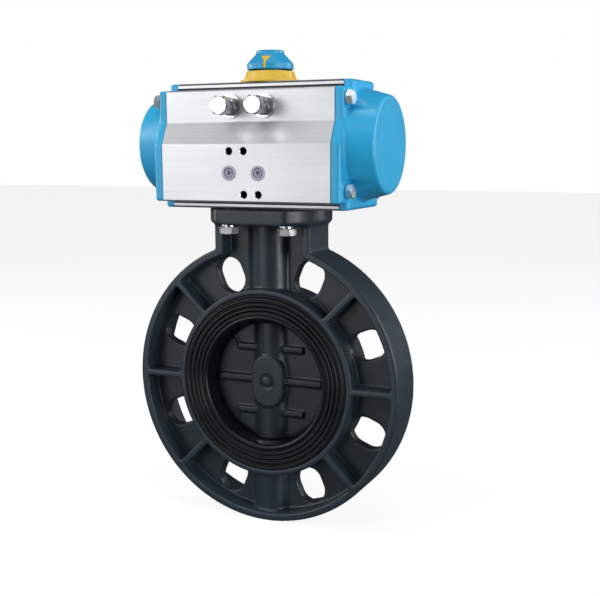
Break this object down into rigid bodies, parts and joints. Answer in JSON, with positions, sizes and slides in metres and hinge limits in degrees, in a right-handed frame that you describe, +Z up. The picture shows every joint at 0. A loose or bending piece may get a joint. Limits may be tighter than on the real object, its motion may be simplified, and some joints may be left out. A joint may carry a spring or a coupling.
{
  "type": "butterfly valve",
  "caption": "Wafer butterfly valve in dark plastic with a rubber-lined bore and a slotted rim, turned a quarter by a rack and pinion air actuator with blue end caps and a position indicator.",
  "frame": {"origin": "centre of the bore, on the axis of the stem, halfway through the body", "axes": "+Z up along the stem towards the actuator; flow runs along Y, and the front face with the actuator ports looks along -Y; +X is to the right seen from the front"},
  "size_m": [0.225, 0.101, 0.3708],
  "materials": {
    "body_plastic": "fine satin, dark blue-grey",
    "disc_plastic": "satin, dark blue-grey",
    "seat_rubber": "soft sheen, near black",
    "seal_rubber": "matte black",
    "anodised_aluminium": "fine brushed, clear anodised",
    "cap_paint": "gloss sky blue over a cast surface",
    "piston_aluminium": "as cast and turned",
    "bright_steel": "bright",
    "stem_steel": "turned",
    "indicator_yellow": "semi-gloss yellow",
    "indicator_blue": "semi-gloss blue",
    "bearing_plastic": "plain ivory",
    "plug_plastic": "milky lilac-grey"
  },
  "bodies": {
    "valve": {"valve_body": "body_plastic", "seat_liner": "seat_rubber", "stem_bush_upper": "bearing_plastic", "stem_bush_lower": "bearing_plastic", "stem_seal_upper": "seal_rubber", "stem_seal_lower": "seal_rubber", "actuator_housing": "anodised_aluminium", "end_cap_right": "cap_paint", "end_cap_left": "cap_paint", "cap_seal_right": "seal_rubber", "cap_seal_left": "seal_rubber", "cap_bolt_left_upper_front": "bright_steel", "cap_bolt_left_upper_rear": "bright_steel", "cap_bolt_left_lower_front": "bright_steel", "cap_bolt_left_lower_rear": "bright_steel", "cap_bolt_right_upper_front": "bright_steel", "cap_bolt_right_upper_rear": "bright_steel", "cap_bolt_right_lower_front": "bright_steel", "cap_bolt_right_lower_rear": "bright_steel", "flange_washer_left_front": "bright_steel", "flange_bolt_left_front": "bright_steel", "flange_washer_left_rear": "bright_steel", "flange_bolt_left_rear": "bright_steel", "flange_washer_right_front": "bright_steel", "flange_bolt_right_front": "bright_steel", "flange_washer_right_rear": "bright_steel", "flange_bolt_right_rear": "bright_steel", "stop_washer_left": "bright_steel", "stop_lock_nut_left": "bright_steel", "port_plug_left": "plug_plastic", "stop_washer_right": "bright_steel", "stop_lock_nut_right": "bright_steel", "port_plug_right": "plug_plastic", "pinion_bearing_upper": "bearing_plastic", "pinion_bearing_lower": "bearing_plastic", "thrust_washer": "bearing_plastic", "indicator_base": "indicator_yellow"},
    "rotor": {"pinion": "stem_steel", "pinion_seal_upper": "seal_rubber", "pinion_seal_lower": "seal_rubber", "snap_ring": "stem_steel", "stop_cam": "stem_steel", "drive_sleeve": "stem_steel", "valve_stem": "stem_steel", "disc": "disc_plastic", "disc_button": "disc_plastic", "indicator_cap": "indicator_blue", "indicator_pointer": "indicator_yellow", "indicator_screw": "bright_steel"},
    "piston_left": {"piston_left": "piston_aluminium", "piston_seal_left": "seal_rubber", "piston_guide_ring_left": "bearing_plastic", "rack_guide_left": "bearing_plastic"},
    "stop_screw_left": {"stop_screw_left": "bright_steel"},
    "piston_right": {"piston_right": "piston_aluminium", "piston_seal_right": "seal_rubber", "piston_guide_ring_right": "bearing_plastic", "rack_guide_right": "bearing_plastic"},
    "stop_screw_right": {"stop_screw_right": "bright_steel"}
  },
  "joints": [
    {"name": "stem_turn", "type": "hinge", "parent": "valve", "child": "rotor", "pos_m": [0, 0, 0], "axis": [0, 0, 1], "range_deg": [0, 90]},
    {"name": "piston_right_slide", "type": "slide", "parent": "valve", "child": "piston_right", "axis": [1, 0, 0], "range_m": [0, 0.0213]},
    {"name": "piston_left_slide", "type": "slide", "parent": "valve", "child": "piston_left", "axis": [-1, 0, 0], "range_m": [0, 0.0213]},
    {"name": "stop_screw_left_slide", "type": "slide", "parent": "valve", "child": "stop_screw_left", "axis": [0, -1, 0], "range_m": [0, 0.0025]},
    {"name": "stop_screw_right_slide", "type": "slide", "parent": "valve", "child": "stop_screw_right", "axis": [0, -1, 0], "range_m": [0, 0.0025]}
  ],
  "couplings": [
    {"joint": "piston_right_slide", "follows": "stem_turn", "m_per_rad": 0.0135},
    {"joint": "piston_left_slide", "follows": "stem_turn", "m_per_rad": 0.0135}
  ]
}
